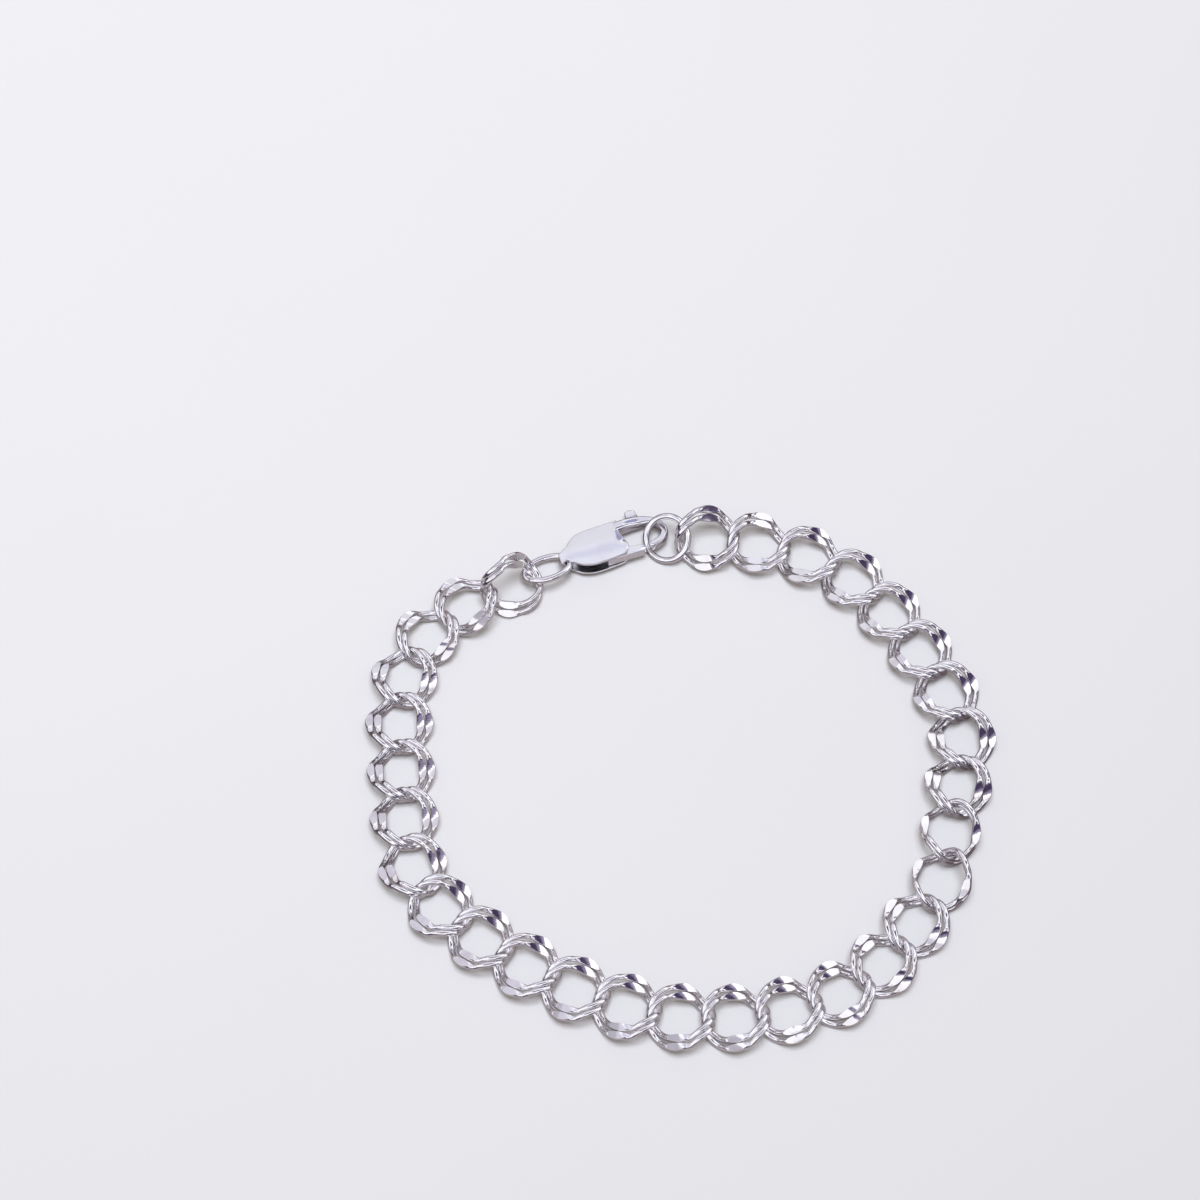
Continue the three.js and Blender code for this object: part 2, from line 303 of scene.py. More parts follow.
def curve_through(knots, per_gap):
    """A smooth curve from the second knot to the last but one, with steps between each two."""
    t = (np.arange(per_gap) / per_gap)[:, None]
    line = []
    for i in range(len(knots) - 3):
        before, start, end, after = knots[i:i + 4]
        leave, arrive = 0.5 * (end - before), 0.5 * (after - start)
        line.append(
            (2 * start - 2 * end + leave + arrive) * t ** 3
            + (3 * end - 3 * start - 2 * leave - arrive) * t ** 2
            + leave * t + start
        )
    return np.vstack([*line, knots[-2:-1]])


def smooth_line(points, per_gap):
    return curve_through(np.array([points[0], *points, points[-1]], float), per_gap)


class Path:
    """A flat curve that is read by length along it."""

    def __init__(self, line, probe):
        gaps = np.diff(line, axis=0)
        self.line = line
        self.probe = probe
        self.reach = np.concatenate([[0], np.cumsum(np.hypot(gaps[:, 0], gaps[:, 1]))])
        self.length = self.reach[-1]

    def at(self, s):
        return np.array([np.interp(s, self.reach, self.line[:, k]) for k in (0, 1)])

    def heading(self, s):
        ahead = self.at(s + self.probe) - self.at(s - self.probe)
        return math.atan2(ahead[1], ahead[0])


def combine(base, others, operation="UNION"):
    """base with the others joined to it or cut from it; the others are used up."""
    for other in others:
        step = base.modifiers.new("combine", "BOOLEAN")
        step.operation = operation
        step.solver = "MANIFOLD"
        step.object = other
        depsgraph = bpy.context.evaluated_depsgraph_get()
        result = bpy.data.meshes.new_from_object(base.evaluated_get(depsgraph))
        base.modifiers.clear()
        old, base.data = base.data, result
        bpy.data.meshes.remove(old)
        bpy.data.objects.remove(other)
    return base


def finish_piece(piece, material, body, slot, *nodes):
    """Gives a piece its material, the body it rides on and the CAD nodes it replaces; the slot is not
    used.
    """
    piece.data.materials.clear()
    piece.data.materials.append(material)
    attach(piece, body)
    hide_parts(*nodes)


# ---- Links ---------------------------------------------------------------------------------

STEPS = 96
SIDES = 20
TOP_SIDES = 6
TURN_PROBE = 1e-4


def ring_point(t):
    x = LINK_A * math.cos(t)
    out = LINK_B * math.sin(t)
    twist = -LINK_TWIST * x / LINK_A
    return Vector((x, out * math.cos(twist), out * math.sin(twist)))


def ring_frame(t):
    """Centre, direction along the wire, and the direction across it that is nearest to up."""
    along = (ring_point(t + TURN_PROBE) - ring_point(t - TURN_PROBE)).normalized()
    twist = -LINK_TWIST * math.cos(t)
    across = Vector((0, -math.sin(twist), math.cos(twist)))
    up = (across - along * across.dot(along)).normalized()
    return ring_point(t), along, up


# Each strand is pressed where it is widest, into a lens-shaped flat on top that bulges a little
# along the wire. The strand is arched, spread and thinned around it. Lengths in mm, along the
# wire from the flat's middle; the curve is the bulge's curvature, per mm. The press also levels
# the stretch, by this slope, towards the plane of the ring.
PRESS_REACH = 2.4
PRESS_SPREAD = 0.52
SPREAD_REACH = 1.5
PRESS_UNDER = 0.24
PRESS_DEPTH = 0.05
PRESS_CURVE = 0.15
PRESS_KNEE_RISE = 0.04
PRESS_LEVEL = 0.21
FLAT_HALF_LENGTH = 1.2
FLAT_FROM = 0.3
LENS_ROUNDNESS = 0.7
EDGE_AT_KNEE = rad(20)
EDGE_AT_MIDDLE = rad(62)

# The steps along the ring are this much closer together within so many degrees of a flat's middle.
PRESS_DETAIL = 2.4
PRESS_DETAIL_REACH = 22
TENTHS = 3600
WIRE_CHORDS = 24


def step_angles():
    """Places along the ring in degrees, closer together in the pressed stretches."""
    fine = np.linspace(0, 360, TENTHS + 1)
    near = np.abs((fine[:-1] % 180) - 90)
    weights = np.where(near < PRESS_DETAIL_REACH, PRESS_DETAIL, 1.0)
    reach = np.concatenate([[0], np.cumsum(weights)])
    marks = np.linspace(0, reach[-1], STEPS + 1)[:-1]
    return np.interp(marks, reach, fine)


def wire_distance(angle):
    """Length along the wire from the middle of the nearer strand, with the sign of x."""
    middle = 90 if angle < 180 else 270
    line = [ring_point(t) for t in np.linspace(rad(middle), rad(angle), WIRE_CHORDS)]
    length = sum((b - a).length for a, b in zip(line, line[1:]))
    return math.copysign(length, ring_point(rad(angle)).x)


def press_height(s):
    """How far the flat lies above the wire's middle, at this distance from its own."""
    return WIRE_R - PRESS_DEPTH * max(0, 1 - (s / FLAT_HALF_LENGTH) ** 2)


def beyond_knee(s, value, slope):
    """Fades a value with that slope at the knee, where the flat ends, to nothing at the reach."""
    length = PRESS_REACH - FLAT_HALF_LENGTH
    t = min(1, (s - FLAT_HALF_LENGTH) / length)
    return value * (1 + 2 * t) * (1 - t) ** 2 + slope * length * t * (1 - t) ** 2


def press_rise(s):
    """How far the wire's middle is arched upwards there."""
    if s < FLAT_HALF_LENGTH:
        bulge = PRESS_CURVE * (FLAT_HALF_LENGTH ** 2 - s ** 2) / 2
        return WIRE_R + PRESS_KNEE_RISE + bulge - press_height(s)
    slope = 2 * PRESS_DEPTH / FLAT_HALF_LENGTH + PRESS_CURVE * FLAT_HALF_LENGTH
    return beyond_knee(s, PRESS_KNEE_RISE, -slope)


def press_levels(s):
    """How far the wire's middle is raised at the strand's falling side, and lowered at the other."""
    if abs(s) < FLAT_HALF_LENGTH:
        return PRESS_LEVEL * s
    return PRESS_LEVEL * math.copysign(beyond_knee(abs(s), FLAT_HALF_LENGTH, 1), s)


def pressed_ring():
    """One twisted ring of round wire, with its strands pressed flat on top."""
    points = []
    for angle in step_angles():
        centre, along, up = ring_frame(rad(angle))
        side = along.cross(up)
        forward = wire_distance(angle)
        s = abs(forward)
        swell = math.cos(min(1, s / SPREAD_REACH) * math.pi / 2) ** 2
        half_width = WIRE_R * (1 + PRESS_SPREAD * swell)
        under = WIRE_R + (PRESS_UNDER - WIRE_R) * swell
        falls = 1 if angle < 180 else -1
        centre = centre + up * (press_rise(s) + falls * press_levels(forward))
        height = press_height(s)
        dip = max(0, 1 - (s / FLAT_HALF_LENGTH) ** 2)
        opening = EDGE_AT_KNEE + (EDGE_AT_MIDDLE - EDGE_AT_KNEE) * dip ** LENS_ROUNDNESS
        flatness = smoothstep(0, FLAT_FROM, dip)
        shoulder = WIRE_R + (height / math.cos(opening) - WIRE_R) * flatness
        for j in range(SIDES):
            if j <= TOP_SIDES:
                share = 1 - 2 * j / TOP_SIDES
                phi = opening * share
                across = math.sin(phi) + (math.sin(opening) * share - math.sin(phi)) * flatness
                lift = WIRE_R * math.cos(phi) + (height - WIRE_R * math.cos(phi)) * flatness
            else:
                share = (j - TOP_SIDES) / (SIDES - TOP_SIDES)
                phi = -opening - (TURN - 2 * opening) * share
                across = math.sin(phi)
                lift = (shoulder if math.cos(phi) > 0 else under) * math.cos(phi)
            points.append(centre + side * (half_width * across) + up * lift)
    return points


# The small neck of solder that joins the two rings of a pair: half its length, width and height.
BEAD = (0.2, 0.3, 0.19)


def solder_bead(name):
    bm = bmesh.new()
    bmesh.ops.create_icosphere(bm, subdivisions=3, radius=1)
    for v in bm.verts:
        v.co = Vector((LINK_A + BEAD[0] * v.co.x, BEAD[1] * v.co.y, BEAD[2] * v.co.z)) * MM
    return bmesh_object(name, bm)


def link_pair(name, stacked):
    """The mesh of two rings, side by side or one on the other, with their solder."""
    ring = pressed_ring()
    faces = tube_faces(STEPS, SIDES, True)
    apart = Vector((0, 0, 1)) if stacked else Vector((0, 1, 0))
    rings = []
    for side in (-0.5, 0.5):
        shift = apart * (side * RING_SPACING)
        rings.append(mesh_object(f"{name}_ring", [p + shift for p in ring], faces))
    bead = solder_bead(f"{name}_bead")
    if stacked:
        bead.data.transform(Matrix.Rotation(math.pi / 2, 4, "X"))
    pair = combine(rings[0], [bead, rings[1]])
    mesh = pair.data
    shade(mesh)
    bpy.data.objects.remove(pair)
    mesh.name = name
    return mesh


ROUTE_STEPS = 400
ROUTE_PROBE = 0.01


def route_path():
    """The chain's route, which runs on as it began before its first point and after its last."""
    before, after = 2 * ROUTE[0] - ROUTE[1], 2 * ROUTE[-1] - ROUTE[-2]
    return Path(curve_through(np.vstack([before, ROUTE, after]), ROUTE_STEPS), ROUTE_PROBE)


def make_links():
    flat, stacked = link_pair("link_flat", False), link_pair("link_stacked", True)
    route = route_path()
    for n in range(1, LINKS + 1):
        turn, roll, pitch, ahead, side, lift = LINK_LIE.get(n, LIES_FLAT)
        s = FIRST_LINK_AT + PITCH * (n - 1)
        heading = route.heading(s)
        along = np.array([math.cos(heading), math.sin(heading)])
        across = np.array([-math.sin(heading), math.cos(heading)])
        x, y = route.at(s) + ahead * along + side * across
        mesh = stacked if n in STACKED_LINKS else flat
        node = f"link_{n:02d}"
        piece = add_object(f"{node}_rings", mesh.copy())
        place(piece, (x, y, LINK_HEIGHT + lift), turned(heading + rad(turn), rad(pitch), rad(roll)))
        finish_piece(piece, CHAIN_SILVER, "bracelet", "chain_silver", node)


# ---- Connecting rings ------------------------------------------------------------------------

RING_STEPS = 120
RING_SIDES = 24


def plain_ring(name, a, b):
    """A closed ring of round wire, drawn flat, with these half lengths."""
    points = []
    for i in range(RING_STEPS):
        t = TURN * i / RING_STEPS
        centre = Vector((a * math.cos(t), b * math.sin(t), 0))
        along = Vector((-a * math.sin(t), b * math.cos(t), 0)).normalized()
        out = along.cross(Vector((0, 0, 1)))
        for j in range(RING_SIDES):
            phi = TURN * j / RING_SIDES
            points.append(centre + (out * math.cos(phi) + Vector((0, 0, math.sin(phi)))) * RING_WIRE_R)
    return mesh_object(name, points, tube_faces(RING_STEPS, RING_SIDES, True))


def make_connecting_rings():
    jump = plain_ring("jump_ring_wire", JUMP_RING_R, JUMP_RING_R)
    axis = Vector((-math.sin(JUMP_RING_TILT_TO), math.cos(JUMP_RING_TILT_TO), 0))
    place(jump, JUMP_RING_AT, Matrix.Rotation(JUMP_RING_TILT, 4, axis))
    finish_piece(jump, RING_SILVER, "bracelet", "ring_silver", "jump_ring")
    oval = plain_ring("oval_ring_wire", OVAL_A, OVAL_B)
    place(oval, OVAL_AT, turned(OVAL_YAW, 0, OVAL_ROLL))
    finish_piece(oval, RING_SILVER, "bracelet", "ring_silver", "oval_ring")


# ---- Clasp ---------------------------------------------------------------------------------

# Its own frame has u along its length to the hook, v to the far side, w upwards.
CLASP_THICK = 1.95
PLATE_THICK = 0.30
INSIDE_LOW, INSIDE_HIGH = 0.2, CLASP_THICK - 0.2
LEVER_PIVOT = Vector((5.6, -0.95))
LEVER_LOW = 0.45
LEVER_HIGH = 1.5
LEVER_ROUND = 0.09
LEVER_SWING = 18
PIVOT_PIN_R = 0.25
PIVOT_HOLE_R = 0.33
PIVOT_EYE_R = 0.62
PIVOT_EYE_ROUND = 0.06
ARM_LOW = 0.82
ARM_HIGH = 1.12
NUB_LOW = 0.6
NUB_HIGH = 1.35
NUB_ROUND = 0.12
SLOT_PLAY = 0.1
SLOT_STEPS = 4

NEAR_EDGE = [
    (-0.1, -0.94), (0.56, -0.55), (0.79, -0.67), (1.16, -0.96), (2.02, -1.62), (2.84, -1.94),
    (3.8, -2.06), (5.5, -1.95), (6.87, -1.76),
]
FRONT_EDGE = [(7.37, -1.44), (7.66, -0.72), (7.46, 0.5), (7.2, 1.38), (7.25, 2.2)]
FAR_EDGE = [
    (7.35, 2.92), (6.34, 2.88), (4.98, 2.8), (3.76, 2.72), (2.92, 2.59), (2.17, 2.31),
    (1.46, 1.73), (1.14, 1.34), (0.54, 0.89), (-0.12, 0.46),
]
EDGE_DETAIL = 5

# The spine stands between the plates, just inside their far edge; the neck joins them at the back.
SPINE_DETAIL = 3
SPINE_FROM, SPINE_TO = 2.1, 7.36
SPINE_BEHIND, SPINE_AHEAD = 0.03, 0.7
NECK = [(-0.05, -0.88), (0.3, -0.68), (0.3, 0.5), (-0.07, 0.44)]

HOOK_LINE = [
    (6.9, 2.25), (7.4, 2.3), (8.3, 2.42), (9.3, 2.5), (10.3, 2.4), (11.2, 2.0), (11.85, 1.3),
    (12.1, 0.4), (11.8, -0.35), (11.2, -0.8), (10.5, -1.02), (10.1, -1.07),
]
LEVER_BAR = [
    (5.05, -1.0), (5.0, -1.78), (9.2, -1.68), (9.45, -1.5), (9.45, -1.05), (9.2, -0.86),
    (7.7, -0.62), (5.6, -0.5),
]
NUB_OUTLINE = [(8.55, 3.2), (8.65, 4.05), (9.2, 4.2), (9.75, 4.0), (9.95, 3.2)]
# The slot for the lever's arm is cut only here, on the far side.
SLOT_ROOM = [(5, 1.2), (11, 1.2), (11, 6), (5, 6)]

# How the plates' outer faces swell between their edges, more and more from the neck. The edges at
# a place are the outline's points within the window along u.
PLATE_SWELL = 0.16
PLATE_SINK = 0.04
SWELLS_FROM, SWELLS_TO = 0.2, 2.2
SWELL_WINDOW = 0.5
LEAST_REACH = 0.3

# How the plates' rims are rounded, the inner edge by a share of the outer, and the plates' net:
# rings at these distances from the rim, then a grid that keeps a share of its step from them.
RIM_ROUND = 0.11
INNER_ROUNDING = 0.7
RIM_INSETS = (0, 0.015, 0.045, 0.08, 0.13, 0.24)
PLATE_GRID = 0.22
GRID_GAP = 0.4

# The top plate's front dips towards the mouth: along u from here, and between these places in v.
MOUTH_FROM = 6.6
MOUTH_SLOPE = 0.36
MOUTH_NEAR = (-0.6, 0.3)
MOUTH_FAR = (1.5, 2.1)


def inset(outline, by):
    """A closed anticlockwise outline, moved inwards."""
    ahead = np.roll(outline, -1, 0) - outline
    ahead /= np.linalg.norm(ahead, axis=1)[:, None]
    behind = np.roll(ahead, 1, 0)
    normal = np.stack([-(ahead + behind)[:, 1], (ahead + behind)[:, 0]], 1)
    normal /= np.linalg.norm(normal, axis=1)[:, None]
    return outline + normal * by


def distance_to(outline, p):
    """From a point to the nearest place on a closed outline."""
    start, gap = outline, np.roll(outline, -1, 0) - outline
    share = np.clip(((p - start) * gap).sum(1) / (gap * gap).sum(1), 0, 1)
    return np.hypot(*(start + gap * share[:, None] - p).T).min()


def inside(p, outline):
    """Whether a point is within a closed outline."""
    a, b = outline, np.roll(outline, -1, 0)
    crosses = (a[:, 1] > p[1]) != (b[:, 1] > p[1])
    with np.errstate(divide="ignore", invalid="ignore"):
        at = (b[:, 0] - a[:, 0]) * (p[1] - a[:, 1]) / (b[:, 1] - a[:, 1]) + a[:, 0]
    return np.count_nonzero(crosses & (p[0] < at)) % 2 == 1


def plate_mesh(outline):
    """A flat net over the outline: rings close together at its rim, a grid inside them."""
    rings = [inset(outline, by) for by in RIM_INSETS]
    count = len(outline)
    net = [Vector(p) for ring in rings for p in ring]
    edges = [(k * count + i, k * count + (i + 1) % count) for k in range(len(rings)) for i in range(count)]
    inner = rings[-1]
    low, high = inner.min(0), inner.max(0)
    for u in np.arange(low[0], high[0], PLATE_GRID):
        for v in np.arange(low[1], high[1], PLATE_GRID):
            clear = np.hypot(*(inner - (u, v)).T).min() > PLATE_GRID * GRID_GAP
            if clear and inside((u, v), inner):
                net.append(Vector((u, v)))
    verts, _, faces, _, _, _ = delaunay_2d_cdt(net, edges, [], 1, 1e-6)
    return verts, faces


def plate(name, outline, top):
    """One pressed plate: swollen outer face with a rounded rim, flat inner face."""
    verts, faces = plate_mesh(outline)
    upper, lower = [], []
    for p in verts:
        short = max(0, RIM_ROUND - distance_to(outline, np.array(p)))
        drop = RIM_ROUND - math.sqrt(max(0, RIM_ROUND ** 2 - short ** 2))
        across = outline[np.abs(outline[:, 0] - p.x) < SWELL_WINDOW][:, 1]
        middle, reach = (across.max() + across.min()) / 2, (across.max() - across.min()) / 2
        swell = PLATE_SWELL * (1 - ((p.y - middle) / max(reach, LEAST_REACH)) ** 2) - PLATE_SINK
        swell *= smoothstep(SWELLS_FROM, SWELLS_TO, p.x)
        if top:
            mouth = smoothstep(*MOUTH_NEAR, p.y) * (1 - smoothstep(*MOUTH_FAR, p.y))
            swell -= MOUTH_SLOPE * max(0, p.x - MOUTH_FROM) * mouth
        upper.append(Vector((p.x, p.y, CLASP_THICK + swell - drop)))
        lower.append(Vector((p.x, p.y, CLASP_THICK - PLATE_THICK + drop * INNER_ROUNDING)))
    total = len(verts)
    edges = {(face[k - 1], face[k]) for face in faces for k in range(len(face))}
    walls = [(b, a, a + total, b + total) for a, b in edges if (b, a) not in edges]
    under = [tuple(total + k for k in reversed(f)) for f in faces]
    solid = mesh_object(name, upper + lower, [tuple(f) for f in faces] + under + walls)
    if not top:
        flip = Matrix.Scale(-1, 4, (0, 0, 1))
        solid.data.transform(Matrix.Translation((0, 0, CLASP_THICK * MM)) @ flip)
        shade(solid.data)
    return solid


def slab(name, outline, low, high, rounded=0):
    """A flat outline raised from low to high, with rounded edges if asked."""
    bm = bmesh.new()
    base = bm.faces.new([bm.verts.new((u * MM, v * MM, low * MM)) for u, v in outline])
    raised = bmesh.ops.extrude_face_region(bm, geom=[base])
    tops = [g for g in raised["geom"] if isinstance(g, bmesh.types.BMVert)]
    bmesh.ops.translate(bm, vec=(0, 0, (high - low) * MM), verts=tops)
    bmesh.ops.recalc_face_normals(bm, faces=bm.faces)
    if rounded:
        sharp = [e for e in bm.edges if e.calc_face_angle(0) > CLASP_SHARP]
        bmesh.ops.bevel(bm, geom=sharp, offset=rounded * MM, segments=3, profile=0.5, affect="EDGES")
    return bmesh_object(name, bm)


def circle(centre, radius, sides=32):
    turns = [TURN * i / sides for i in range(sides)]
    return [(centre.x + radius * math.cos(t), centre.y + radius * math.sin(t)) for t in turns]


def arm_outline(play):
    """The lever's thin arm: up from the pivot, inside the hook's root, out to the nub."""
    return [
        (6.7 + play, -0.6), (6.7 + play, 1.4), (7.2, 1.75 - play), (9.75 + play, 2.1 - play),
        (9.75 + play, 3.45), (8.6 - play, 3.45), (8.6 - play, 2.75 + play), (6.5, 2.55 + play),
        (5.9 - play, 1.9), (5.9 - play, -0.6),
    ]


# The hook: its lower and upper face, half its width at each side of its line, and how it narrows
# and comes down from the plate along that line. Its section is between a circle and a square.
HOOK_LOW = 0.42
HOOK_HIGH = 1.6
HOOK_ABOVE_PLATE = 0.1
HOOK_HALF_WIDTH = 0.43
HOOK_ROOT_FAR_WIDTH = 0.5
HOOK_ROOT_NEAR_WIDTH = 0.78
HOOK_NARROWS = (2.2, 4.9)
HOOK_COMES_DOWN = (0.6, 3.2)
HOOK_SQUARENESS = 0.62
HOOK_TIP = 0.3
HOOK_TIP_FACE = 0.12
HOOK_TIP_WIDTH = 0.55
HOOK_TIP_HEIGHT = 0.7
HOOK_DETAIL = 24
HOOK_PROBE = 0.02
HOOK_STEPS = 64
HOOK_SIDES = 28


def squarish(x):
    """A sine or cosine, pushed outwards to make a circle squarer."""
    return math.copysign(abs(x) ** HOOK_SQUARENESS, x)


def hook():
    """The hook's band: a rounded bar that rises out of the plate and ends in a blunt tip."""
    path = Path(smooth_line(HOOK_LINE, HOOK_DETAIL), HOOK_PROBE)
    points = []
    for i in range(HOOK_STEPS + 1):
        s = path.length * i / HOOK_STEPS
        middle = path.at(s)
        heading = path.heading(s)
        side = np.array([-math.sin(heading), math.cos(heading)])
        full = min(1, (path.length - s) / HOOK_TIP + HOOK_TIP_FACE)
        blunt = math.sqrt(1 - (1 - full) ** 2)
        raised = 1 - smoothstep(*HOOK_COMES_DOWN, s)
        top = HOOK_HIGH + (CLASP_THICK + HOOK_ABOVE_PLATE - HOOK_HIGH) * raised
        half_height = (top - HOOK_LOW) / 2
        narrowed = smoothstep(*HOOK_NARROWS, s)
        far = HOOK_ROOT_FAR_WIDTH + (HOOK_HALF_WIDTH - HOOK_ROOT_FAR_WIDTH) * narrowed
        near = HOOK_ROOT_NEAR_WIDTH + (HOOK_HALF_WIDTH - HOOK_ROOT_NEAR_WIDTH) * narrowed
        for j in range(HOOK_SIDES):
            c, d = math.cos(TURN * j / HOOK_SIDES), math.sin(TURN * j / HOOK_SIDES)
            half_width = far if c > 0 else near
            across = squarish(c) * half_width * (HOOK_TIP_WIDTH + (1 - HOOK_TIP_WIDTH) * blunt)
            up = squarish(d) * half_height * (HOOK_TIP_HEIGHT + (1 - HOOK_TIP_HEIGHT) * blunt)
            points.append(Vector((*(middle + side * across), HOOK_LOW + half_height + up)))
    root = tuple(range(HOOK_SIDES))
    tip = tuple(reversed([HOOK_STEPS * HOOK_SIDES + j for j in root]))
    return mesh_object("hook", points, [*tube_faces(HOOK_STEPS, HOOK_SIDES, False), root, tip])


def about_pivot(solid, degrees):
    """Turns a solid about the lever's pivot."""
    at = Vector((LEVER_PIVOT.x, LEVER_PIVOT.y, 0)) * MM
    turn = Matrix.Rotation(rad(degrees), 4, "Z")
    solid.data.transform(Matrix.Translation(at) @ turn @ Matrix.Translation(-at))


def plate_outline():
    """The plates' outline, anticlockwise seen from above, with evenly short steps."""
    return np.vstack([smooth_line(edge, EDGE_DETAIL) for edge in (NEAR_EDGE, FRONT_EDGE, FAR_EDGE)])


def spine_outline():
    far = smooth_line(FAR_EDGE, SPINE_DETAIL)
    far = far[(far[:, 0] > SPINE_FROM) & (far[:, 0] < SPINE_TO)]
    return [*(far - (0, SPINE_BEHIND)), *(far - (0, SPINE_AHEAD))[::-1]]


def swept_slots():
    """The room that the lever's arm needs on the far side, from rest to open."""
    slots = []
    for step in range(SLOT_STEPS + 1):
        slot = slab("slot", arm_outline(SLOT_PLAY), ARM_LOW - SLOT_PLAY, ARM_HIGH + SLOT_PLAY)
        about_pivot(slot, LEVER_SWING * step / SLOT_STEPS)
        room = slab("room", SLOT_ROOM, 0, CLASP_THICK)
        slots.append(combine(slot, [room], "INTERSECT"))
    return slots


def clasp_body():
    outline = plate_outline()
    body = plate("clasp_body_metal", outline, True)
    combine(body, [
        plate("bottom", outline, False),
        slab("spine", spine_outline(), INSIDE_LOW, INSIDE_HIGH),
        slab("neck", NECK, INSIDE_LOW, INSIDE_HIGH),
        slab("pin", circle(LEVER_PIVOT, PIVOT_PIN_R), INSIDE_LOW, INSIDE_HIGH),
        hook(),
    ])
    return combine(body, swept_slots(), "DIFFERENCE")


def clasp_lever():
    lever = slab("clasp_lever_metal", LEVER_BAR, LEVER_LOW, LEVER_HIGH, LEVER_ROUND)
    combine(lever, [
        slab("eye", circle(LEVER_PIVOT, PIVOT_EYE_R), LEVER_LOW, LEVER_HIGH, PIVOT_EYE_ROUND),
        slab("arm", arm_outline(0), ARM_LOW, ARM_HIGH),
        slab("nub", NUB_OUTLINE, NUB_LOW, NUB_HIGH, NUB_ROUND),
    ])
    hole = slab("hole", circle(LEVER_PIVOT, PIVOT_HOLE_R), 0, CLASP_THICK)
    return combine(lever, [hole], "DIFFERENCE")


def make_clasp():
    body, lever = clasp_body(), clasp_lever()
    for piece in (body, lever):
        shade(piece.data, CLASP_SHARP)
        place(piece, CLASP_AT, turned(CLASP_HEADING, 0, -CLASP_ROLL))
    finish_piece(body, CLASP_SILVER, "bracelet", "clasp_silver", "clasp_body")
    finish_piece(lever, LEVER_SILVER, "lever", "clasp_silver", "clasp_lever")


# ---- Stage -----------------------------------------------------------------------------------

FLOOR_HALF = 1.5
FLOOR_CLOUDS = {"scale": 18, "detail": 5}
FLOOR_GRAIN = {"scale": 2500, "detail": 4}
FLOOR_GRAIN_STRENGTH = 0.12
FLOOR_GRAIN_DEPTH = 0.0001
FLOOR_DULL, FLOOR_PALE = (0.79, 0.785, 0.785), (0.81, 0.805, 0.805)
# Painted light fall-off: the floor's colour is multiplied by a slow ramp across it, along this direction,
# over this stretch, between these factors.
FADE_ALONG = (-0.53, 0.85, 0)
FADE_OVER = (-0.09, 0.13)
FADE_BY = (0.865, 1.09)

# The board is painted shade for the silver to mirror: far darker than the floor, and darkest outside the
# loop.
BOARD_ABOVE_FLOOR = 0.000004
BOARD_SHADE_INSIDE, BOARD_SHADE_OUTSIDE = (0.38, 0.34, 0.335), (0.13, 0.10, 0.11)
BOARD_MIDDLE_X = -0.002
BOARD_DARKENS = (0.026, 0.035)


def floor_material():
    material, node, link, shader = new_material("pale_board")
    shader.inputs["Roughness"].default_value = 0.9
    shader.inputs["Specular IOR Level"].default_value = 0.1
    where = node.new("ShaderNodeNewGeometry").outputs["Position"]
    clouds = noise(node, link, where, **FLOOR_CLOUDS)
    tint = blend(node, link, clouds, FLOOR_DULL, FLOOR_PALE)
    # Painted light fall-off: the floor's colour is darkened or lightened by a ramp along FADE_ALONG.
    slant = node.new("ShaderNodeVectorMath")
    slant.operation = "DOT_PRODUCT"
    slant.inputs[1].default_value = FADE_ALONG
    link.new(where, slant.inputs[0])
    painted_falloff = node.new("ShaderNodeMix")
    painted_falloff.data_type = "RGBA"
    painted_falloff.blend_type = "MULTIPLY"
    painted_falloff.inputs["Factor"].default_value = 1
    link.new(tint, painted_falloff.inputs["A"])
    link.new(spread(node, link, slant.outputs["Value"], FADE_OVER, FADE_BY), painted_falloff.inputs["B"])
    link.new(painted_falloff.outputs["Result"], shader.inputs["Base Color"])
    grain = noise(node, link, where, **FLOOR_GRAIN)
    roughen(node, link, shader, grain, FLOOR_GRAIN_STRENGTH, FLOOR_GRAIN_DEPTH)
    return material


def square(name, height, material):
    """A level square of the floor's size."""
    corners = [(x * FLOOR_HALF, y * FLOOR_HALF, 0) for x, y in ((-1, -1), (1, -1), (1, 1), (-1, 1))]
    mesh = bpy.data.meshes.new(name)
    mesh.from_pydata(corners, [], [(0, 1, 2, 3)])
    mesh.materials.append(material)
    level = add_object(name, mesh)
    level.location.z = height
    return level


def only_in_reflections(board):
    board.visible_camera = False
    board.visible_diffuse = False
    board.visible_shadow = False


def make_floor():
    floor = square("floor", cad_low.z, floor_material())


def math_node(node, link, operation, first, second=None):
    """A sum or the like of one value that is linked in and perhaps another, linked or fixed."""
    step = node.new("ShaderNodeMath")
    step.operation = operation
    link.new(first, step.inputs[0])
    if isinstance(second, float):
        step.inputs[1].default_value = second
    elif second is not None:
        link.new(second, step.inputs[1])
    return step.outputs["Value"]


def board_material():
    """Painted shade for the silver to mirror: darkest outside the loop, but not in front."""
    material, node, link, shader = new_material("reflected_shade_board")
    shader.inputs["Roughness"].default_value = 1
    shader.inputs["Specular IOR Level"].default_value = 0
    split = node.new("ShaderNodeSeparateXYZ")
    link.new(node.new("ShaderNodeNewGeometry").outputs["Position"], split.inputs["Vector"])
    centred = math_node(node, link, "ADD", split.outputs["X"], -BOARD_MIDDLE_X)
    sideways = math_node(node, link, "ABSOLUTE", centred)
    outwards = math_node(node, link, "MAXIMUM", sideways, split.outputs["Y"])
    share = spread(node, link, outwards, BOARD_DARKENS)
    link.new(blend(node, link, share, BOARD_SHADE_INSIDE, BOARD_SHADE_OUTSIDE), shader.inputs["Base Color"])
    return material


def make_board():
    """A darker board just above the floor that only shows in reflections: painted shade that the silver
    mirrors in place of the pale floor.
    """
    board = square("reflected_shade_board", cad_low.z + BOARD_ABOVE_FLOOR, board_material())
    only_in_reflections(board)


# ---- Light and what the silver mirrors ---------------------------------------------------------


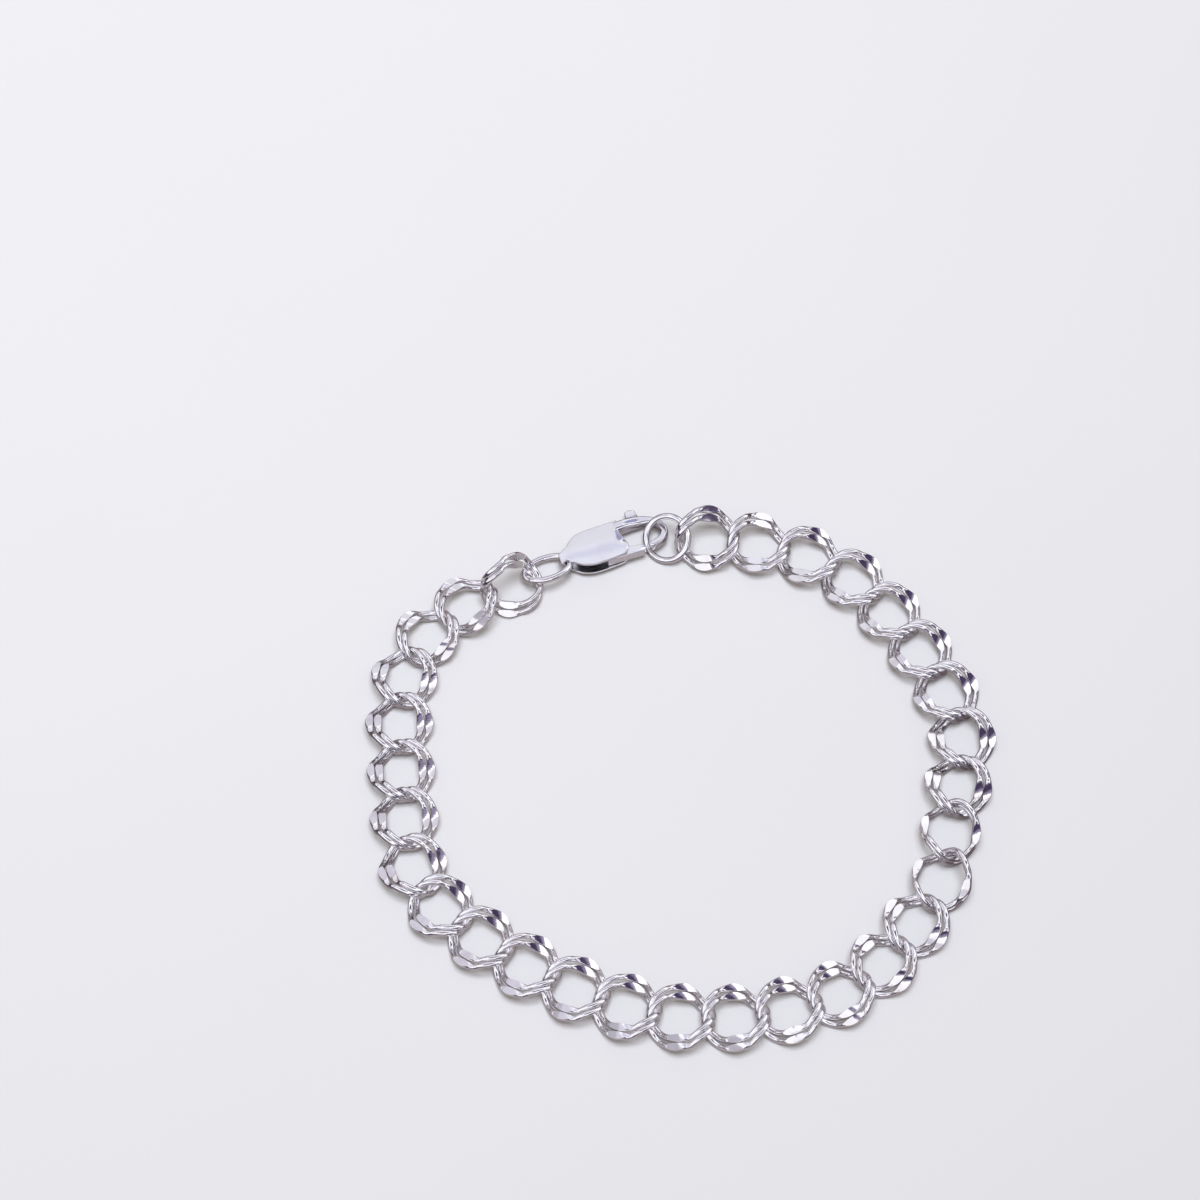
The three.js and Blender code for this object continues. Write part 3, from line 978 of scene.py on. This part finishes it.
def towards(azimuth, elevation):
    """Direction in degrees: azimuth 0 is +X and 90 is +Y."""
    a, e = rad(azimuth), rad(elevation)
    return Vector((math.cos(a) * math.cos(e), math.sin(a) * math.cos(e), math.sin(e)))


def area_light(name, azimuth, elevation, distance, size, power, colour):
    """A square soft box in that direction from the bracelet, facing it; it isn't mirrored."""
    data = bpy.data.lights.new(name, "AREA")
    data.shape = "SQUARE"
    data.size = size
    data.energy = power
    data.color = colour
    lamp = add_object(name, data)
    away = towards(azimuth, elevation)
    lamp.location = away * distance
    lamp.rotation_euler = (-away).to_track_quat("-Z", "Y").to_euler()
    lamp.visible_glossy = False


def card_material(name, colour):
    material, _, _, shader = new_material(name)
    shader.inputs["Base Color"].default_value = (0, 0, 0, 1)
    shader.inputs["Specular IOR Level"].default_value = 0
    shader.inputs["Emission Color"].default_value = (*colour, 1)
    shader.inputs["Emission Strength"].default_value = 1
    return material


LOOP_MIDDLE = Vector()
CLASP_MIDDLE = Vector((-8, 26.5, 2)) * MM
CLASP_MOUTH = Vector((-6.5, 27.6, 2.2)) * MM
CARD_DISTANCE = 0.6
CARD_STEPS = 12
CARD_COLUMN = 4


def card(name, rows, colour, distance=CARD_DISTANCE, centre=LOOP_MIDDLE):
    """A curved board around a place, bright or dark, that only shows in reflections.

    Each row is an azimuth with the board's lowest and highest elevation there, in degrees."""
    columns, lows, highs = zip(*rows)
    count = math.ceil((columns[-1] - columns[0]) / CARD_COLUMN)
    points, faces = [], []
    for i in range(count + 1):
        azimuth = columns[0] + (columns[-1] - columns[0]) * i / count
        low, high = np.interp(azimuth, columns, lows), np.interp(azimuth, columns, highs)
        for j in range(CARD_STEPS + 1):
            points.append(centre + towards(azimuth, low + (high - low) * j / CARD_STEPS) * distance)
            if i < count and j < CARD_STEPS:
                here = i * (CARD_STEPS + 1) + j
                faces.append((here, here + 1, here + CARD_STEPS + 2, here + CARD_STEPS + 1))
    mesh = bpy.data.meshes.new(name)
    mesh.from_pydata(points, [], faces)
    mesh.materials.append(card_material(name, colour))
    board = add_object(name, mesh)
    only_in_reflections(board)


WHITE = (1.4, 1.386, 1.4)
PALE = (1.058, 1.058, 1.112)
LAVENDER = (0.68, 0.66, 0.75)
DEEP_LAVENDER = (0.48, 0.46, 0.53)
BLUE_LAVENDER = (0.64, 0.64, 0.79)
PURPLE_GREY = (0.09, 0.07, 0.13)
PURPLE_DARK = (0.055, 0.04, 0.095)
DUSK = (0.26, 0.23, 0.34)
BROWN_DARK = (0.06, 0.045, 0.055)
PLATE_FAR = (0.76, 0.755, 0.81)
PLATE_NEAR = (0.83, 0.83, 0.91)
BLUE_DARK = (0.27, 0.27, 0.46)

WHOLE_TURN = (-180, 180)
HORIZON_TOP = 12
ZENITH = 90

# The edge of the dark overhead, as azimuth and elevation, and the reach of the dusk across it.
DARK_EDGE = [
    (-185, 72), (-165, 75), (-140, 78), (-120, 79), (-80, 79), (-60, 76), (-40, 73), (-20, 69),
    (-10, 67), (0, 63), (8, 59), (16, 55), (24, 50), (32, 45), (38, 46), (44, 60), (60, 72),
    (100, 80), (125, 78), (140, 72), (150, 66), (160, 62), (170, 64), (175, 70),
]
DUSK_REACH = 3


SKY_COLOUR = (1.0, 0.91, 0.83)
SKY_STRENGTH = 0.36
KEY = {
    "azimuth": -90, "elevation": 86, "distance": 0.8,
    "size": 0.4, "power": 5.6, "colour": (0.86, 0.90, 1),
}


def make_lights():
    world = bpy.data.worlds.new("room")
    bpy.context.scene.world = world
    world.use_nodes = True
    sky = world.node_tree.nodes["Background"]
    sky.inputs["Color"].default_value = (*SKY_COLOUR, 1)
    sky.inputs["Strength"].default_value = SKY_STRENGTH
    area_light("key", **KEY)


def make_mirrored_room():
    """A pale dome, and what hangs in front of it: a nearer card hides a farther one."""
    card("card_dome", [(azimuth, 0, ZENITH) for azimuth in WHOLE_TURN], PALE, distance=0.75)
    horizon = [(azimuth, 0, HORIZON_TOP) for azimuth in WHOLE_TURN]
    card("card_horizon", horizon, BROWN_DARK, distance=0.7)
    card(
        "card_white",
        [(-185, 66, 73), (-140, 70, 79), (-97, 72, 80), (-60, 66, 77), (-20, 56, 70), (-10, 53, 68),
         (0, 51, 64), (8, 47, 60), (16, 42, 56), (24, 38, 51), (32, 35, 46), (44, 32, 44)],
        WHITE,
    )
    card("card_dark", [(azimuth, edge, ZENITH) for azimuth, edge in DARK_EDGE], PURPLE_DARK)
    dusk = [(azimuth, edge - DUSK_REACH, edge + DUSK_REACH) for azimuth, edge in DARK_EDGE]
    card("card_dusk", dusk, DUSK, distance=0.59)
    front = [(-180, 2, 18), (-140, 2, 24), (-90, 2, 26), (-40, 2, 22)]
    card("card_front_dark", front, PURPLE_DARK, distance=0.57)
    card("card_right_dark", [(-62, 26, 46), (-30, 24, 45), (-12, 22, 41), (2, 20, 34)], PURPLE_GREY)
    card("card_back_grey", [(88, 14, 40), (130, 14, 48), (142, 20, 52)], LAVENDER)
    card("card_back_low", [(84, 0, 12), (112, 0, 14)], DEEP_LAVENDER, distance=0.58)
    card("card_left_deep", [(140, 22, 54), (156, 30, 56), (172, 34, 52)], DEEP_LAVENDER)
    card("card_front_left_grey", [(-132, 46, 60), (-118, 48, 66), (-90, 54, 74), (-73, 56, 70)], LAVENDER)
    card("card_plate_streak", [(72, 47, 57), (124, 47, 57)], BLUE_LAVENDER)
    card("card_plate_far", [(70, 26, 47), (120, 26, 47)], PLATE_FAR, 0.06, CLASP_MIDDLE)
    card("card_plate_near", [(66, 57, 74), (130, 57, 74)], PLATE_NEAR, 0.05, CLASP_MIDDLE)
    card("card_mouth", [(54, 20, 42), (72, 20, 42)], BLUE_DARK, 0.02, CLASP_MOUTH)


make_links()
make_connecting_rings()
make_clasp()
make_floor()
make_board()
make_lights()
make_mirrored_room()
